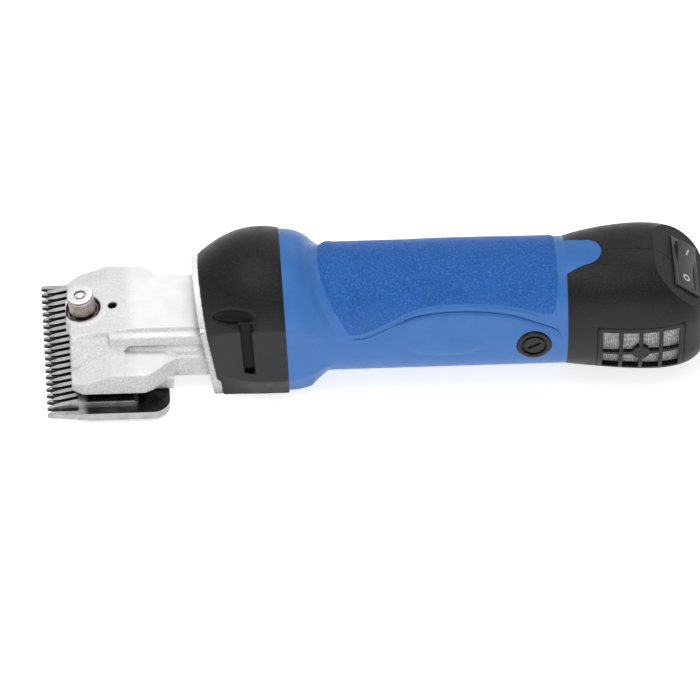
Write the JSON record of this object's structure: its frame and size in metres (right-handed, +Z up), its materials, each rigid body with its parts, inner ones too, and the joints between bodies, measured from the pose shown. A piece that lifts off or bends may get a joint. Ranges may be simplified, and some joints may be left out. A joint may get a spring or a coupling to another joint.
{
  "type": "electric sheep shears",
  "caption": "Mains electric shearing handpiece: fine comb and oscillating cutter on a cast head, gear case, motor grip and switched rear cover.",
  "frame": {"origin": "middle of the tool's length and width, on the surface that it rests on", "axes": "+X towards the cord end, -X towards the comb's points, +Z up, +Y across"},
  "size_m": [0.296, 0.0798, 0.0642],
  "materials": {
    "cast_aluminium": "satin, shot blasted",
    "blade_steel": "ground",
    "stainless": "turned",
    "tool_steel": "oiled",
    "black_plastic": "fine grain",
    "blue_plastic": "fine grain",
    "switch_plastic": "polished",
    "gland_rubber": "matt",
    "core_steel": "stamped sheets",
    "copper": "enamelled wire",
    "carbon": "matt",
    "fan_plastic": "moulded",
    "holder_brass": "stamped"
  },
  "bodies": {
    "body": {"comb": "blade_steel", "comb_screws": "stainless", "head_casting": "cast_aluminium", "head_screws": "stainless", "fulcrum_post": "tool_steel", "fulcrum_washer": "tool_steel", "tension_sleeve": "stainless", "tension_spring": "tool_steel", "gear_housing": "black_plastic", "bearing_plate": "cast_aluminium", "motor_casing": "blue_plastic", "stator_core": "core_steel", "field_windings": "copper", "armature_bearing_outer_rings": "tool_steel", "crank_bearing_outer_rings": "tool_steel", "brush_holder_right": "holder_brass", "brush_holder_left": "holder_brass", "carbon_brush_right": "carbon", "carbon_brush_left": "carbon", "brush_spring_right": "holder_brass", "brush_spring_left": "holder_brass", "brush_cap_right": "black_plastic", "brush_cap_left": "black_plastic", "rear_cover": "black_plastic", "filter_cover_right": "black_plastic", "filter_cover_left": "black_plastic", "switch_body": "switch_plastic", "cord_gland": "gland_rubber"},
    "armature": {"armature_shaft": "tool_steel", "armature_core": "core_steel", "armature_windings": "copper", "commutator": "copper", "cooling_fan": "fan_plastic", "armature_bearing_inner_rings": "tool_steel"},
    "crank": {"drive_gear": "tool_steel", "crank_shaft": "tool_steel", "crank_bearing_inner_rings": "tool_steel"},
    "roller": {"crank_roller": "tool_steel"},
    "lever": {"fork_lever": "tool_steel", "fork_finger_right": "tool_steel", "fork_finger_left": "tool_steel", "cutter": "blade_steel"},
    "tension_pin": {"tension_pin": "tool_steel"},
    "tension_knob": {"tension_knob": "stainless"},
    "rocker": {"switch_rocker": "switch_plastic"}
  },
  "joints": [
    {"name": "motor_spin", "type": "hinge", "parent": "body", "child": "armature", "pos_m": [0, 0, 0.028], "axis": [1, 0, 0], "continuous": true},
    {"name": "crank_spin", "type": "hinge", "parent": "body", "child": "crank", "pos_m": [-0.06, 0, 0.014], "axis": [1, 0, 0], "continuous": true},
    {"name": "roller_spin", "type": "hinge", "parent": "crank", "child": "roller", "pos_m": [-0.0825, 0, 0.01525], "axis": [1, 0, 0], "continuous": true},
    {"name": "lever_swing", "type": "hinge", "parent": "body", "child": "lever", "pos_m": [-0.102, 0, 0.01], "axis": [0, 0, 1], "range_deg": [-3.6, 3.6]},
    {"name": "tension_travel", "type": "slide", "parent": "body", "child": "tension_pin", "axis": [-0.165, 0, 0.9863], "range_m": [0, 0.00151]},
    {"name": "tension_turn", "type": "hinge", "parent": "tension_pin", "child": "tension_knob", "pos_m": [-0.131, 0, 0.031], "axis": [-0.165, 0, 0.9863], "range_deg": [0, 540]},
    {"name": "rocker_tilt", "type": "hinge", "parent": "body", "child": "rocker", "pos_m": [0.13257, 0, 0.04447], "axis": [-0.766, 0, 0.6428], "range_deg": [0, 16]}
  ],
  "couplings": [
    {"joint": "crank_spin", "follows": "motor_spin", "ratio": -0.25},
    {"joint": "tension_travel", "follows": "tension_turn", "m_per_rad": 0.00015915}
  ]
}
